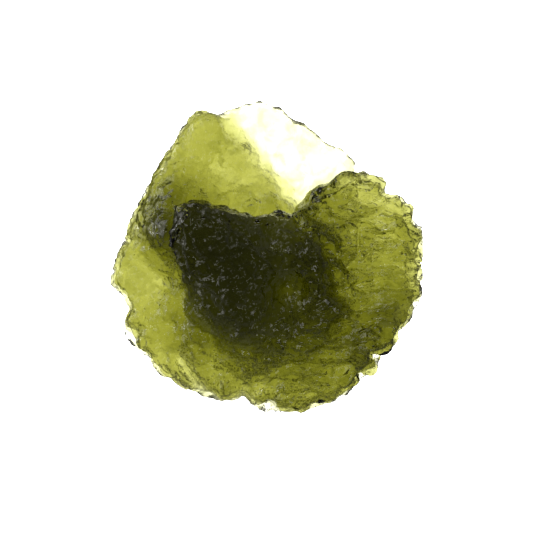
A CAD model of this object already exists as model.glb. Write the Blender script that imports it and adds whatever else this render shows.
# %% [markdown]
# # A moldavite on a light table
#
# A moldavite is glass: rock that melted when a meteorite struck, flew through the air and froze.
# For millions of years the soil then etched it. This stone has two leaves, a low thin one behind
# and a thick one in front, with ripples and pits all over. It lies on its back on a lit white
# table, so light comes up through it: bright where it is thin, nearly black where it is thick.
#
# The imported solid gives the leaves, the ledge and the broad lumps. This script adds what is finer
# than that, then the glass itself, the table, the light and the camera.

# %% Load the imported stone
import math

import bmesh
import bpy
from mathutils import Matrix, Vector, noise


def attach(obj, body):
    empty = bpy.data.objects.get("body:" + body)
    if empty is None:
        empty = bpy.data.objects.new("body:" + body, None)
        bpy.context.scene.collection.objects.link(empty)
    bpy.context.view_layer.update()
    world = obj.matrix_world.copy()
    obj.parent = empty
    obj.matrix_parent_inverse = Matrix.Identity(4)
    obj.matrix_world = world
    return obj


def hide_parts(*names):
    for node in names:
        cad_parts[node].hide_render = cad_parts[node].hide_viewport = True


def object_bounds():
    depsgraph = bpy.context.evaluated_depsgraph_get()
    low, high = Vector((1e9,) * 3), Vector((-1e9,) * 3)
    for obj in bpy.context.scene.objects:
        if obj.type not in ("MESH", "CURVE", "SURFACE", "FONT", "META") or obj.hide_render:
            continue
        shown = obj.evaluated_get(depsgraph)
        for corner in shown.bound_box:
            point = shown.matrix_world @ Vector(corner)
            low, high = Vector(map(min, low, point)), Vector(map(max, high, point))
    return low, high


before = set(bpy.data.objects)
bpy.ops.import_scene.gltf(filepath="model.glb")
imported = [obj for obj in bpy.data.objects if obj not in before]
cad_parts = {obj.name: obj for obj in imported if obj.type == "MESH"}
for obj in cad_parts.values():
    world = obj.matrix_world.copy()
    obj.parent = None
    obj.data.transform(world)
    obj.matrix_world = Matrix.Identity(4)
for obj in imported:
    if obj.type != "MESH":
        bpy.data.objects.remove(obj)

MM = 0.001
cad_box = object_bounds()
low_corner, high_corner = cad_box
print("stone, mm:", [round(side / MM, 1) for side in high_corner - low_corner])

# %% [markdown]
# ## The camera
#
# The picture is a close-up from straight above. Such a lens could be modelled short and near, or
# long and far. A long one is right here: it keeps the outline of the low leaf and of the high one
# at the same scale. The stone sits a little above the middle of the picture, so the camera stands
# a little below the stone's middle.

# %% Camera
PICTURE_SIDE = 53.3 * MM
STONE_ABOVE_MIDDLE = 0.9 * MM
FOCUS_HEIGHT = 8.0 * MM
SENSOR = 36.0
LENS = 200.0

camera_data = bpy.data.cameras.new("camera")
camera_data.sensor_width = SENSOR
camera_data.lens = LENS
camera = bpy.data.objects.new("camera", camera_data)
bpy.context.scene.collection.objects.link(camera)
distance = PICTURE_SIDE * LENS / SENSOR
camera.location = (0, -STONE_ABOVE_MIDDLE, FOCUS_HEIGHT + distance)
camera_data.clip_start = 10 * MM
camera_data.clip_end = 10
bpy.context.scene.camera = camera
print("camera above the stone, mm:", round(distance / MM))

# %% [markdown]
# ## Sums in the shader
#
# A material is a tree of nodes. Written out one by one, even 0.3 + mask takes four lines. This
# small class holds a node's output, so that sums on it read as Python sums do, and its node()
# makes any other node, with its settings first and then what goes into its sockets. The table, the
# room and the glass all fade one value into another, so eased() makes that node for all three.

# %% A socket that can be used in sums
class Signal:
    def __init__(self, tree, socket=None):
        self.tree = tree
        self.socket = socket

    def node(self, kind, settings=None, inputs=None, output=0):
        made = self.tree.nodes.new(kind)
        for name, value in (settings or {}).items():
            setattr(made, name, value)
        for name, value in (inputs or {}).items():
            if isinstance(value, Signal):
                self.tree.links.new(value.socket, made.inputs[name])
            else:
                made.inputs[name].default_value = value
        return Signal(self.tree, made.outputs[output] if made.outputs else None)

    def sum_node(self, operation, first, second):
        return self.node("ShaderNodeMath", {"operation": operation}, {0: first, 1: second})

    def __add__(self, other):
        return self.sum_node("ADD", self, other)

    def __mul__(self, other):
        return self.sum_node("MULTIPLY", self, other)

    __radd__ = __add__
    __rmul__ = __mul__


def eased(signal, low, high, at_low=0.0, at_high=1.0):
    """at_low up to low, at_high from high on, and a smooth step between them."""
    return signal.node(
        "ShaderNodeMapRange", {"interpolation_type": "SMOOTHSTEP"},
        {"Value": signal, "From Min": low, "From Max": high, "To Min": at_low, "To Max": at_high},
    )


# %% [markdown]
# ## The light table
#
# The photographed stone lies on plain white with no shadow, which only a lit surface gives. A
# strong lamp below a thin plane would do it, but every ray would have to find that lamp. A plane
# that glows by itself gives the same even light and far less noise. It glows brighter than the
# film can show, so it stays white, and light that has lost part of itself in the glass still
# looks bright. Only a disc under the stone is that strong, and round it the glow falls to plain
# white. Steep faces would mirror the table as grey haze, so mirrored rays don't see it.

# %% Light table
TABLE_GLOW = 3.0
FLOOR_GLOW = 1.0
BRIGHT_RADIUS = 18 * MM
DIM_RADIUS = 45 * MM
TABLE_SIDE = 6.0
TABLE_GAP = 0.03 * MM

table_mesh = bpy.data.meshes.new("light_table")
work = bmesh.new()
bmesh.ops.create_grid(work, x_segments=1, y_segments=1, size=TABLE_SIDE / 2)
bmesh.ops.translate(work, verts=work.verts, vec=(0, 0, -TABLE_GAP))
work.to_mesh(table_mesh)
work.free()
light_table = bpy.data.objects.new("light_table", table_mesh)
bpy.context.scene.collection.objects.link(light_table)

table_material = bpy.data.materials.new("lit_white")
table_material.use_nodes = True
table_shader = table_material.node_tree.nodes["Principled BSDF"]
table_shader.inputs["Base Color"].default_value = (0.8, 0.8, 0.8, 1)
table_shader.inputs["Roughness"].default_value = 0.9
table_shader.inputs["Emission Color"].default_value = (1, 1, 1, 1)
lit = Signal(table_material.node_tree)
spot = lit.node("ShaderNodeTexCoord", output="Object")
from_middle = lit.node("ShaderNodeVectorMath", {"operation": "LENGTH"}, {0: spot}, output="Value")
falloff = eased(from_middle, BRIGHT_RADIUS, DIM_RADIUS, TABLE_GLOW, FLOOR_GLOW)
lit.tree.links.new(falloff.socket, table_shader.inputs["Emission Strength"])
table_mesh.materials.append(table_material)
light_table.visible_glossy = False
print("table glow:", TABLE_GLOW, "under the stone,", FLOOR_GLOW, "from", round(DIM_RADIUS / MM), "mm on")

# %% [markdown]
# ## The room
#
# Dark thick glass shows what it mirrors. Straight up there is only the dark camera, so the black
# parts stay black, while slanting facets that look left catch a bright window. The room is
# therefore bright low down on the left, dim on the other sides, and dark overhead and underfoot.
# Dark underfoot matters most: the steepest faces mirror what is there, and a bright floor would
# lie on them as grey haze.

# %% Room
ROOM_GLOW = 0.22
WINDOW_GLOW = 2.6
WINDOW_WAY = (-0.85, 0.53, 0)
WINDOW_EDGE, WINDOW_MIDDLE = 0.35, 0.9
OVERHEAD_GLOW = 0.08
DARK_BELOW, BRIGHT_FROM = -0.35, -0.05
BRIGHT_UP_TO, DARK_FROM = 0.12, 0.42

world = bpy.data.worlds.new("studio")
bpy.context.scene.world = world
world.use_nodes = True
world.node_tree.nodes.clear()
sky = Signal(world.node_tree)
direction = sky.node("ShaderNodeTexCoord", output="Generated")
height = sky.node("ShaderNodeSeparateXYZ", inputs={0: direction}, output="Z")
low_down = eased(height, BRIGHT_UP_TO, DARK_FROM, 1.0, 0.0)
above_floor = eased(height, DARK_BELOW, BRIGHT_FROM)
to_window = sky.node(
    "ShaderNodeVectorMath", {"operation": "DOT_PRODUCT"}, {0: direction, 1: WINDOW_WAY}, output="Value"
)
sides = eased(to_window, WINDOW_EDGE, WINDOW_MIDDLE, ROOM_GLOW, WINDOW_GLOW)
strength = sides * low_down * above_floor + OVERHEAD_GLOW
glow = sky.node("ShaderNodeBackground", inputs={"Strength": strength})
sky.node("ShaderNodeOutputWorld", inputs={"Surface": glow})
print("room:", ROOM_GLOW, "at the sides,", WINDOW_GLOW, "on the left,", OVERHEAD_GLOW, "overhead")

# %% [markdown]
# ## The lamps
#
# The etched skin glitters. Each glint is a tiny slope that mirrors something much brighter than
# the room. One small lamp would give few and very white glints, and only large ones would give
# many dim ones. The photo has both, so three large soft lamps and a small one stand round the
# stone, and a low one on the left picks out the crests along the mound's left side. Only their
# reflections show.

# %% Lamps
# Each lamp: direction as azimuth and elevation in degrees, side in mm, power in watts
LAMPS = {
    "left_lamp": (-72, 44, 64, 0.026),
    "back_lamp": (30, 52, 50, 0.014),
    "front_lamp": (150, 48, 56, 0.022),
    "small_lamp": (-25, 58, 14, 0.007),
    "low_lamp": (-66, 14, 30, 0.030),
}
LAMP_DISTANCE = 180 * MM


def towards(azimuth, elevation):
    """A unit vector: azimuth 0 is the top of the picture, and 90 its right side."""
    turn, rise = math.radians(azimuth), math.radians(elevation)
    return Vector((math.sin(turn) * math.cos(rise), math.cos(turn) * math.cos(rise), math.sin(rise)))


for name, (azimuth, elevation, side, power) in LAMPS.items():
    lamp_data = bpy.data.lights.new(name, "AREA")
    lamp_data.size = side * MM
    lamp_data.energy = power
    lamp = bpy.data.objects.new(name, lamp_data)
    bpy.context.scene.collection.objects.link(lamp)
    way = towards(azimuth, elevation)
    lamp.location = way * LAMP_DISTANCE
    lamp.rotation_euler = way.to_track_quat("Z", "Y").to_euler()
    lamp.visible_camera = False
print("lamps:", ", ".join(LAMPS))

# %% [markdown]
# ## A finer copy of the solid
#
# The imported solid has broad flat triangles. They could be subdivided, but their long edges would
# still show through the glass as lines. A voxel remesh makes an even skin instead, fine enough to
# carry etching, and a few rounds of smoothing take the last corners off the triangles. The copy
# is welded first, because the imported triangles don't share their points.

# %% Even skin
SKIN_CELL = 0.11 * MM
SMOOTHING_ROUNDS = 8


def welded_copy(node, name):
    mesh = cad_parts[node].data.copy()
    mesh.name = name
    work = bmesh.new()
    work.from_mesh(mesh)
    bmesh.ops.remove_doubles(work, verts=work.verts, dist=0.0005 * MM)
    work.to_mesh(mesh)
    work.free()
    copy = bpy.data.objects.new(name, mesh)
    bpy.context.scene.collection.objects.link(copy)
    return copy


def apply_modifiers(obj):
    bpy.context.view_layer.update()
    graph = bpy.context.evaluated_depsgraph_get()
    made = bpy.data.meshes.new_from_object(obj.evaluated_get(graph), depsgraph=graph)
    obj.modifiers.clear()
    obj.data = made


def triangles_in(mesh):
    return sum(len(face.vertices) - 2 for face in mesh.polygons)


stone = welded_copy("moldavite", "moldavite_glass")
remesh = stone.modifiers.new("Even skin", "REMESH")
remesh.mode = "VOXEL"
remesh.voxel_size = SKIN_CELL
apply_modifiers(stone)
skin = bmesh.new()
skin.from_mesh(stone.data)
for _ in range(SMOOTHING_ROUNDS):
    bmesh.ops.smooth_vert(
        skin, verts=skin.verts, factor=0.5, use_axis_x=True, use_axis_y=True, use_axis_z=True
    )
skin.normal_update()
print("skin points:", len(skin.verts))

# %% [markdown]
# ## Where each kind of etching is
#
# The etching isn't the same everywhere. The right leaf is rippled from side to side, the mound and
# the back leaf are pitted, and the dimple and the thin corner are nearly smooth. One map painted
# for the whole stone would have to be redone with every change of shape, so small functions say,
# for a place in millimetres, how much of each kind it has.

# %% Masks
# Places in the plan, in mm, and directions in it
DIMPLE, DIMPLE_REACH = (2.3, -3.6), 2.4
TOWARDS_FRONT = (0.74, -0.67)
CORNER_EDGE, TOWARDS_CORNER = (-0.6, 8.9), (0.81, 0.59)
LEDGE_END, ABOVE_LEDGE = (2.9, 3.7), (-0.69, 0.73)
LEAF_LEAN = 0.25

# Where each mask starts and where it is full, in mm
FRONT_HEIGHTS = (4.5, 6.5)
LEAF_REACH = (3.0, 7.5)
FRONT_SIDE_REACH = (-0.5, 2.5)
CORNER_REACH = (-1.0, 1.5)
LEDGE_REACH = (-1.0, 0.5)

# How strongly each part is etched, and how much of that is lost where it is smooth
BACK_ETCHING, FRONT_ETCHING = 1.1, 1.0
LOST_IN_DIMPLE, LOST_IN_CORNER = 0.75, 0.7


def ease(value, low, high):
    """0 below low, 1 above high, and a smooth step between them."""
    share = min(max((value - low) / (high - low), 0.0), 1.0)
    return share * share * (3 - 2 * share)


def near(place, middle, reach):
    """1 at the middle, falling off smoothly all round it."""
    return math.exp(-((place.x - middle[0]) ** 2 + (place.y - middle[1]) ** 2) / reach ** 2)


def past(place, start, way):
    """How far a place lies past the start in that direction, in plan."""
    return (place.x - start[0]) * way[0] + (place.y - start[1]) * way[1]


def on_front(place):
    return ease(place.z, *FRONT_HEIGHTS)


def on_right_leaf(place):
    return ease(place.x - LEAF_LEAN * place.y, *LEAF_REACH)


def on_front_side(place):
    """1 under the front mass and the right leaf, 0 under the back leaf."""
    return ease(past(place, (0, 0), TOWARDS_FRONT), *FRONT_SIDE_REACH)


def on_thin_corner(place):
    above_ledge = ease(past(place, LEDGE_END, ABOVE_LEDGE), *LEDGE_REACH)
    return ease(past(place, CORNER_EDGE, TOWARDS_CORNER), *CORNER_REACH) * above_ledge


def roughness_share(place):
    """How strongly a place is etched."""
    at_front = max(on_front(place), on_front_side(place))
    share = BACK_ETCHING + (FRONT_ETCHING - BACK_ETCHING) * at_front
    share *= 1 - LOST_IN_DIMPLE * near(place, DIMPLE, DIMPLE_REACH)
    return share * (1 - LOST_IN_CORNER * on_thin_corner(place))


print("etching in the dimple:", round(roughness_share(Vector((*DIMPLE, 9.0))), 2))

# %% [markdown]
# ## Pits and ripples
#
# Etching eats round pits that meet in sharp crests. A cell pattern does just that: the squared
# distance to the nearest cell centre is a round bowl, and two bowls meet in a crest. Stretched
# cells give the ripples. The pattern is bent with smooth noise first, so that nothing repeats.

# %% Etching
# Vector noise starts from the clock unless it has a seed, and every run has to look the same
NOISE_SEED = 3
noise.seed_set(NOISE_SEED)

# The pits of each size: width in mm, depth in mm
ROUND_PITS = {"broad": (1.3, 0.16), "middle": (0.7, 0.12), "small": (0.38, 0.06)}
RIPPLES = {"broad": (1.5, 0.60), "middle": (0.7, 0.22), "small": (0.36, 0.08)}
RIPPLE_STRETCH = Vector((1 / 2.4, 1, 1 / 1.5))
PIT_BEND, PIT_BEND_LENGTH = 0.45, 1.8

# How steeply a bowl climbs to its crest
BOWL_RISE = 1.5

# The sharp creases in the belly: width of a cell, depth, half width in mm
CREASES = {"broad": (1.5, 0.26, 0.17), "small": (0.8, 0.15, 0.12)}
CREASE_BEND, CREASE_BEND_LENGTH = 0.6, 1.4
CREASE_STRETCH = 0.5
CREASES_UNDER_BACK = 0.35

# They come in patches this many cells wide, where a smooth noise is high enough
PATCH_CELLS = 1.6
PATCH_NOISE = (-0.2, 0.3)


def bowls(place, width):
    """0 in the middle of each pit and 1 on the crests between them."""
    to_middle = noise.voronoi(place / width)[0][0]
    return min(to_middle * BOWL_RISE, 1.0) ** 2


def creases(place):
    """How deep the belly's creases are here: narrow lines where two cells meet, here and there."""
    bent = place + noise.noise_vector(place / CREASE_BEND_LENGTH) * CREASE_BEND
    stretch = Vector((1 - CREASE_STRETCH * on_right_leaf(place), 1, 1))
    depth_here = 0.0
    for width, depth, half_width in CREASES.values():
        nearest = noise.voronoi(bent * stretch / width)[0]
        away = (nearest[1] - nearest[0]) * width / 2 / half_width
        share = ease(noise.noise(place / (PATCH_CELLS * width)), *PATCH_NOISE)
        depth_here = max(depth_here, depth * share * math.exp(-away * away))
    return depth_here * (CREASES_UNDER_BACK + (1 - CREASES_UNDER_BACK) * on_front_side(place))


def pattern(place, pits):
    """The height of all sizes of pits together, about 0 on average."""
    return sum((bowls(place, width) - 0.5) * depth for width, depth in pits.values())


def etching(place):
    """How far the skin stands out here, in mm: ripples on the right leaf and round pits elsewhere."""
    bent = place + noise.noise_vector(place / PIT_BEND_LENGTH) * PIT_BEND
    leaf = on_right_leaf(place)
    height = pattern(bent, ROUND_PITS) * (1 - leaf) + pattern(bent * RIPPLE_STRETCH, RIPPLES) * leaf
    return height * roughness_share(place)


print("pits, mm wide:", [width for width, _ in ROUND_PITS.values()])

# %% [markdown]
# ## Grooves and crests
#
# A few lines stand out: a dark branching groove between the mound and the right leaf, fine dark
# creases across that leaf, and two glinting crests down the left side of the mound. Each is a
# short list of points seen from above. A point near such a line sinks or rises with a rounded
# profile, and only on the front mass.

# %% Lines
# Each line: depth in mm (a crest's is negative), half width in mm, points in mm
LINES = {
    "branching groove": (0.45, 0.38, [(3.0, 3.6), (4.5, 2.3), (6.1, 1.0), (7.8, -0.4)]),
    "its lower branch": (0.40, 0.32, [(6.1, 1.0), (6.7, -1.0), (7.3, -3.3)]),
    "crease below the tip": (0.32, 0.26, [(6.7, 4.6), (8.0, 4.0), (10.0, 3.8), (13.2, 1.8)]),
    "crease down the leaf": (0.28, 0.24, [(9.3, 2.9), (9.1, 0.2), (8.3, -1.1)]),
    "crease near the notch": (0.30, 0.24, [(3.6, 4.6), (4.8, 4.1), (5.4, 5.0)]),
    "left crest": (
        -0.42, 0.34, [(-8.7, 4.6), (-8.4, 3.4), (-9.2, 2.0), (-9.0, 0.6), (-8.0, -1.1), (-7.9, -2.7)]
    ),
    "second left crest": (-0.38, 0.30, [(-8.1, 4.5), (-7.9, 2.6), (-7.9, 0.9), (-7.2, -1.2)]),
    "beaded crest": (-0.20, 0.18, [(-1.9, 1.5), (-0.8, 0.1), (0.5, -1.4)]),
}


# How far the lines wander, over what length, and where each ends as a share of its half width
WANDER, WANDER_LENGTH = 0.22, 1.2
LINE_END = 2.5


def distance_to_line(place, points):
    nearest = math.inf
    here = Vector((place.x, place.y))
    for start, end in zip(points, points[1:]):
        start, along = Vector(start), Vector(end) - Vector(start)
        share = min(max((here - start).dot(along) / along.length_squared, 0.0), 1.0)
        nearest = min(nearest, (here - start - along * share).length)
    return nearest


def line_depth(place):
    """How deep the lines are here, in mm."""
    depth_here = 0.0
    wander = noise.noise_vector(place / WANDER_LENGTH) * WANDER
    for depth, half_width, points in LINES.values():
        away = distance_to_line(place + wander, points) / half_width
        if away < LINE_END:
            depth_here += depth * math.exp(-away * away)
    return depth_here


print("lines:", ", ".join(LINES))

# %% [markdown]
# ## Carve the skin
#
# Every point of the skin moves along its own normal by what the etching and the lines say. The
# spot that the stone rests on stays flat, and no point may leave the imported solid's box, so the
# stone keeps the size that it was built to.

# %% Carve
FOOT_HEIGHT, CLEAR_OF_FOOT = 0.05, 0.4
TOP_FACING, BELLY_FACING = 0.1, -0.5
SIDEWAYS = (0.5, 0.9)
BELLY_SHARE = 0.7
RIM_SHARE = 1.3
MOST_TRIANGLES = 195000

moves = []
for vert in skin.verts:
    place = vert.co / MM
    sideways = ease(1 - abs(vert.normal.z), *SIDEWAYS)
    height = etching(place) * (1 + (RIM_SHARE - 1) * sideways)
    if vert.normal.z > TOP_FACING:
        height -= line_depth(place) * on_front(place)
    elif vert.normal.z < BELLY_FACING:
        height = height * BELLY_SHARE - creases(place) - line_depth(place)
    moves.append(vert.normal * height * MM * ease(place.z, FOOT_HEIGHT, CLEAR_OF_FOOT))
for vert, move in zip(skin.verts, moves):
    moved = vert.co + move
    vert.co = [min(max(moved[axis], low_corner[axis]), high_corner[axis]) for axis in range(3)]
skin.to_mesh(stone.data)
skin.free()
print("triangles before thinning:", triangles_in(stone.data))
thinning = stone.modifiers.new("Thinning", "DECIMATE")
thinning.ratio = MOST_TRIANGLES / triangles_in(stone.data)
thinning.use_collapse_triangulate = True
apply_modifiers(stone)
stone.data.shade_smooth()
print("triangles:", triangles_in(stone.data))

# %% [markdown]
# ## The glass
#
# Colour in glass isn't painted on: it is light that the glass has swallowed on its way through.
# So nearly all of it comes from the body of the stone, which swallows blue about twice as fast as
# red and green. Where the glass is thin that leaves pale yellow, then olive, then near black.

# %% Absorption
# How much of each colour a metre of glass swallows, as the rate in exp(-rate * depth)
SWALLOWED = {"red": 390, "green": 385, "blue": 800}
ABSORPTION_DENSITY = 900
GLASS_IOR = 1.49

glass = bpy.data.materials.new("olive_glass")
glass.use_nodes = True
mat = Signal(glass.node_tree)
mat.tree.nodes.clear()
passed_on = [1 - rate / ABSORPTION_DENSITY for rate in SWALLOWED.values()]
body = mat.node(
    "ShaderNodeVolumeAbsorption", inputs={"Color": (*passed_on, 1), "Density": ABSORPTION_DENSITY}
)
print("green left after 5 mm:", round(math.exp(-SWALLOWED["green"] * 5 * MM), 2))

# %% [markdown]
# ## The etched surface
#
# Below the size of a mesh cell the skin is still rough. Displacing it that finely would take
# millions of triangles, so a bump tilts the light instead. Everywhere it has fine pits, a grain
# and a slow wobble. The belly also has scratches, because a thin steep groove under clear glass
# shows as a dark line through it.
#
# Three things vary over the skin. It is a little glossier in some places than in others. The low
# back leaf is softer, almost frosted. And a faint tint adds the streaks that moldavite has in it,
# and darkens the crown of the mound, where absorption alone leaves the glass a little too light.

# %% Surface
# A Mix node has a socket for each type of value under one name, so its colours go by number
MIX_FIRST_COLOUR, MIX_SECOND_COLOUR, MIX_RESULT_COLOUR = 6, 7, 2

# Cells or waves to the metre
WOBBLE_SCALE, PIT_SCALE, GRAIN_SCALE = 900.0, 2600.0, 5200.0
PATCH_SCALE, BEND_SCALE, STREAK_SCALE = 420.0, 700.0, 520.0

# The two sets of scratches: scale, half width, how much closer they lie along each axis, share
SCRATCHES = [(900.0, 0.11 * MM, (0.55, 1, 1), 1.0), (1700.0, 0.07 * MM, (0.7, 1, 1), 0.6)]
SCRATCH_DEPTH = 1.9
BEND_LENGTH = 1.2 * MM
BUMP_HEIGHT = 0.06 * MM

# Heights between which the belly, the soft low leaf and the darker crown fade
BELLY_FADE = (1.8 * MM, 3.2 * MM)
LOW_LEAF_FADE = (3.5 * MM, 7.0 * MM)
CROWN_FADE = (8.8 * MM, 11.0 * MM)

PATCH_LEVELS = (0.44, 0.62)
GLOSSIEST, DULLEST = 0.05, 0.16
LOW_LEAF_SOFTNESS = 0.2
CLEAR_TINT, STREAK_TINT, CROWN_TINT = (1.0, 1.0, 0.98, 1), (0.68, 0.69, 0.56, 1), (0.5, 0.5, 0.55, 1)


def noise_waves(scale, detail, output=0, distortion=0.0):
    inputs = {"Vector": place, "Scale": scale, "Detail": detail, "Distortion": distortion}
    return mat.node("ShaderNodeTexNoise", inputs=inputs, output=output)


def scratch_lines(scale, half_width, stretch):
    """0 along the lines where the cells meet and 1 away from them."""
    cells = mat.node("ShaderNodeMapping", inputs={"Vector": bent, "Scale": stretch})
    away = mat.node(
        "ShaderNodeTexVoronoi", {"feature": "DISTANCE_TO_EDGE"}, {"Vector": cells, "Scale": scale}
    )
    return mat.node("ShaderNodeMapRange", inputs={"Value": away, "From Max": half_width * scale})


def mixed(share, first, second, blend="MIX"):
    return mat.node(
        "ShaderNodeMix", {"data_type": "RGBA", "blend_type": blend},
        {0: share, MIX_FIRST_COLOUR: first, MIX_SECOND_COLOUR: second}, output=MIX_RESULT_COLOUR,
    )


place = mat.node("ShaderNodeTexCoord", output="Object")
height = mat.node("ShaderNodeSeparateXYZ", inputs={0: place}, output="Z")
wobble = noise_waves(WOBBLE_SCALE, 3.0)
grain = noise_waves(GRAIN_SCALE, 4.0)
fine_pits = mat.node(
    "ShaderNodeTexVoronoi", {"feature": "SMOOTH_F1"},
    {"Vector": place, "Scale": PIT_SCALE, "Smoothness": 0.3},
)
across = mat.node(
    "ShaderNodeVectorMath", {"operation": "DOT_PRODUCT"}, {0: place, 1: (*TOWARDS_FRONT, 0)},
    output="Value",
)
front_side = eased(across, *(reach * MM for reach in FRONT_SIDE_REACH))
patches = eased(noise_waves(PATCH_SCALE, 1.0), *PATCH_LEVELS)

bend = noise_waves(BEND_SCALE, 2.0, output="Color")
bent = mat.node("ShaderNodeVectorMath", {"operation": "SCALE"}, {0: bend, "Scale": BEND_LENGTH})
bent = mat.node("ShaderNodeVectorMath", {"operation": "ADD"}, {0: place, 1: bent})
first_set, second_set = (scratch_lines(*shape) * share for *shape, share in SCRATCHES)
scratched = (first_set + second_set) * patches * front_side * SCRATCH_DEPTH
scratched = scratched + (fine_pits + wobble) * (0.3 + front_side * 0.4)
relief = fine_pits * 0.6 + grain * 0.25 + wobble * 0.4 + scratched * eased(height, *BELLY_FADE, 1.0, 0.0)
bump = mat.node(
    "ShaderNodeBump", inputs={"Height": relief, "Strength": 1.0, "Distance": BUMP_HEIGHT},
    output="Normal",
)

gloss = mat.node(
    "ShaderNodeMapRange",
    inputs={"Value": wobble, "From Min": 0.3, "From Max": 0.7, "To Min": GLOSSIEST, "To Max": DULLEST},
)
softness = eased(height, *LOW_LEAF_FADE, LOW_LEAF_SOFTNESS, 0.0)
streaks = noise_waves(STREAK_SCALE, 4.0, distortion=1.0)
cloudy = mat.node("ShaderNodeMapRange", inputs={"Value": streaks, "From Min": 0.47, "From Max": 0.62})
streaked = mixed(cloudy, CLEAR_TINT, STREAK_TINT)
tint = mixed(eased(height, *CROWN_FADE), streaked, CROWN_TINT, blend="MULTIPLY")
surface = mat.node(
    "ShaderNodeBsdfPrincipled",
    inputs={"Base Color": tint, "Roughness": gloss + softness, "IOR": GLASS_IOR,
            "Transmission Weight": 1.0, "Normal": bump},
)
mat.node("ShaderNodeOutputMaterial", inputs={"Surface": surface, "Volume": body})
stone.data.materials.clear()
stone.data.materials.append(glass)
print("nodes in the glass:", len(mat.tree.nodes))

# %% [markdown]
# ## Hand over
#
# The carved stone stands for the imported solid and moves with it. The picture shows light as it
# is, without a film look, because the photograph's white is plain white. Light may bounce often,
# since it crosses two leaves and is mirrored inside them.

# %% Hand over
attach(stone, "root")
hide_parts("moldavite")

scene = bpy.context.scene
scene.view_settings.view_transform = "Standard"
scene.cycles.max_bounces = 20
scene.cycles.transmission_bounces = 20
scene.cycles.glossy_bounces = 8
